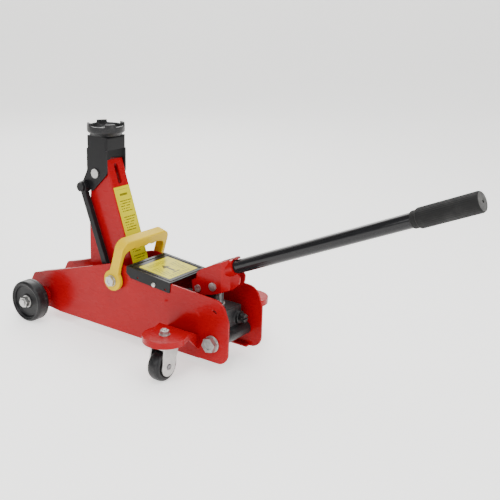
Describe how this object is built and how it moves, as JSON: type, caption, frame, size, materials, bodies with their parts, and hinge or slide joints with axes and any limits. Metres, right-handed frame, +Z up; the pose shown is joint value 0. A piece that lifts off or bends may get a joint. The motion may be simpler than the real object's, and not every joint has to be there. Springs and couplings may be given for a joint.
{
  "type": "trolley jack",
  "caption": "Low hydraulic trolley jack: red pressed frame, lifting arm with a round saddle, pump handle, casters and a yellow carry handle.",
  "frame": {"origin": "on the floor, under the middle of the jack's length and width with the arm raised and the pump handle in its socket", "axes": "+X towards the pump handle's grip, +Y to the jack's right side, +Z up"},
  "size_m": [0.7786, 0.2774, 0.344],
  "materials": {
    "red_paint": "gloss red enamel",
    "black_paint": "semi-gloss black enamel",
    "black_cast": "black painted casting",
    "zinc": "bright zinc plate",
    "bright_steel": "ground steel, lightly oiled",
    "black_plastic": "satin moulded plastic",
    "yellow_plastic": "satin moulded plastic",
    "yellow_label": "printed film",
    "grip_foam": "matte ribbed grip",
    "red_plastic": "moulded cap",
    "seal_rubber": "nitrile"
  },
  "bodies": {
    "root": {"side_plate_left": "red_paint", "side_plate_right": "red_paint", "floor_pan": "red_paint", "mid_tie": "red_paint", "front_axles": "red_paint", "axle_washers": "zinc", "axle_nuts": "zinc", "pivot_shaft": "bright_steel", "shaft_spacers": "black_paint", "carry_handle_bolts": "zinc", "link_anchors": "black_paint", "cover_plate": "black_paint", "cover_label": "yellow_label", "cover_screws": "zinc", "rear_bolts": "zinc", "rear_washers": "zinc", "caster_wing_left": "red_paint", "caster_wing_right": "red_paint", "stud_nuts": "zinc", "swivel_cups": "zinc", "cylinder_tube": "black_paint", "reservoir_tube": "black_paint", "tank_nut": "black_paint", "filler_plug": "zinc", "pump_block": "black_paint", "pump_barrel": "zinc", "spring_hooks": "bright_steel", "return_springs": "bright_steel", "pump_spring": "bright_steel"},
    "lift_arm": {"lift_arm": "red_paint", "arm_label": "yellow_label", "ram_pin": "bright_steel", "yoke_pin": "zinc"},
    "saddle_yoke": {"saddle_yoke": "black_paint", "link_bolts": "black_paint"},
    "saddle": {"saddle": "black_cast", "saddle_clip": "zinc"},
    "link_rod_left": {"link_rod_left": "black_paint"},
    "link_rod_right": {"link_rod_right": "black_paint"},
    "ram": {"ram": "bright_steel", "piston_seal": "seal_rubber"},
    "carry_handle": {"carry_handle": "yellow_plastic"},
    "handle_socket": {"handle_socket": "red_paint", "socket_pivot_pin": "zinc", "drive_pin": "zinc", "pump_roller": "bright_steel"},
    "pump_handle": {"handle_tube": "black_paint", "handle_grip": "grip_foam", "tube_plug": "black_plastic", "stop_screw": "red_plastic"},
    "pump_piston": {"pump_piston": "bright_steel"},
    "release_valve": {"release_valve": "black_cast"},
    "front_wheel_left": {"front_wheel_left": "black_plastic"},
    "front_wheel_right": {"front_wheel_right": "black_plastic"},
    "caster_left": {"caster_fork_left": "zinc", "caster_axle_left": "zinc"},
    "caster_right": {"caster_fork_right": "zinc", "caster_axle_right": "zinc"},
    "caster_wheel_left": {"caster_wheel_left": "black_plastic"},
    "caster_wheel_right": {"caster_wheel_right": "black_plastic"}
  },
  "joints": [
    {"name": "lift_arm_hinge", "type": "hinge", "parent": "root", "child": "lift_arm", "pos_m": [-0.18141, 0, 0.1045], "axis": [0, -1, 0], "range_deg": [0, 82]},
    {"name": "yoke_hinge", "type": "hinge", "parent": "lift_arm", "child": "saddle_yoke", "pos_m": [-0.24436, 0, 0.26349], "axis": [0, -1, 0], "range_deg": [-82, 0]},
    {"name": "saddle_turn", "type": "hinge", "parent": "saddle_yoke", "child": "saddle", "pos_m": [-0.24186, 0, 0.32399], "axis": [0, 0, 1], "continuous": true},
    {"name": "link_left_hinge", "type": "hinge", "parent": "root", "child": "link_rod_left", "pos_m": [-0.20472, 0, 0.0805], "axis": [0, -1, 0], "range_deg": [0, 82]},
    {"name": "link_right_hinge", "type": "hinge", "parent": "root", "child": "link_rod_right", "pos_m": [-0.20472, 0, 0.0805], "axis": [0, -1, 0], "range_deg": [0, 82]},
    {"name": "ram_slide", "type": "slide", "parent": "root", "child": "ram", "axis": [1, 0, 0], "range_m": [0, 0.04734], "deforming": ["return_springs"]},
    {"name": "carry_handle_fold", "type": "hinge", "parent": "root", "child": "carry_handle", "pos_m": [-0.18141, 0, 0.1045], "axis": [0, 1, 0], "range_deg": [-4, 26]},
    {"name": "pump_stroke", "type": "hinge", "parent": "root", "child": "handle_socket", "pos_m": [-0.03841, 0, 0.1145], "axis": [0, -1, 0], "range_deg": [0, 50]},
    {"name": "handle_pull", "type": "slide", "parent": "handle_socket", "child": "pump_handle", "axis": [0.9121, 0, 0.4099], "range_m": [0, 0.08]},
    {"name": "pump_piston_slide", "type": "slide", "parent": "root", "child": "pump_piston", "axis": [0, 0, 1], "range_m": [0, 0.01755], "deforming": ["pump_spring"]},
    {"name": "release_valve_turn", "type": "hinge", "parent": "root", "child": "release_valve", "pos_m": [0.01158, 0.022, 0.0695], "axis": [1, 0, 0], "range_deg": [0, 180]},
    {"name": "front_wheel_left_spin", "type": "hinge", "parent": "root", "child": "front_wheel_left", "pos_m": [-0.35441, -0.0735, 0.0352], "axis": [0, 1, 0], "continuous": true},
    {"name": "front_wheel_right_spin", "type": "hinge", "parent": "root", "child": "front_wheel_right", "pos_m": [-0.35441, 0.0735, 0.0352], "axis": [0, 1, 0], "continuous": true},
    {"name": "caster_left_swivel", "type": "hinge", "parent": "root", "child": "caster_left", "pos_m": [-0.02891, -0.1057, 0.0698], "axis": [0, 0, 1], "continuous": true},
    {"name": "caster_right_swivel", "type": "hinge", "parent": "root", "child": "caster_right", "pos_m": [-0.02891, 0.1057, 0.0698], "axis": [0, 0, 1], "continuous": true},
    {"name": "caster_wheel_left_spin", "type": "hinge", "parent": "caster_left", "child": "caster_wheel_left", "pos_m": [-0.02891, -0.1112, 0.024], "axis": [1, 0, 0], "continuous": true},
    {"name": "caster_wheel_right_spin", "type": "hinge", "parent": "caster_right", "child": "caster_wheel_right", "pos_m": [-0.02891, 0.1112, 0.024], "axis": [1, 0, 0], "continuous": true}
  ],
  "couplings": [
    {"joint": "yoke_hinge", "follows": "lift_arm_hinge", "ratio": -1},
    {"joint": "link_left_hinge", "follows": "lift_arm_hinge", "ratio": 1},
    {"joint": "link_right_hinge", "follows": "lift_arm_hinge", "ratio": 1},
    {"joint": "ram_slide", "follows": "lift_arm_hinge", "m_per_rad": 0.033005},
    {"joint": "pump_piston_slide", "follows": "pump_stroke", "m_per_rad": 0.02}
  ]
}
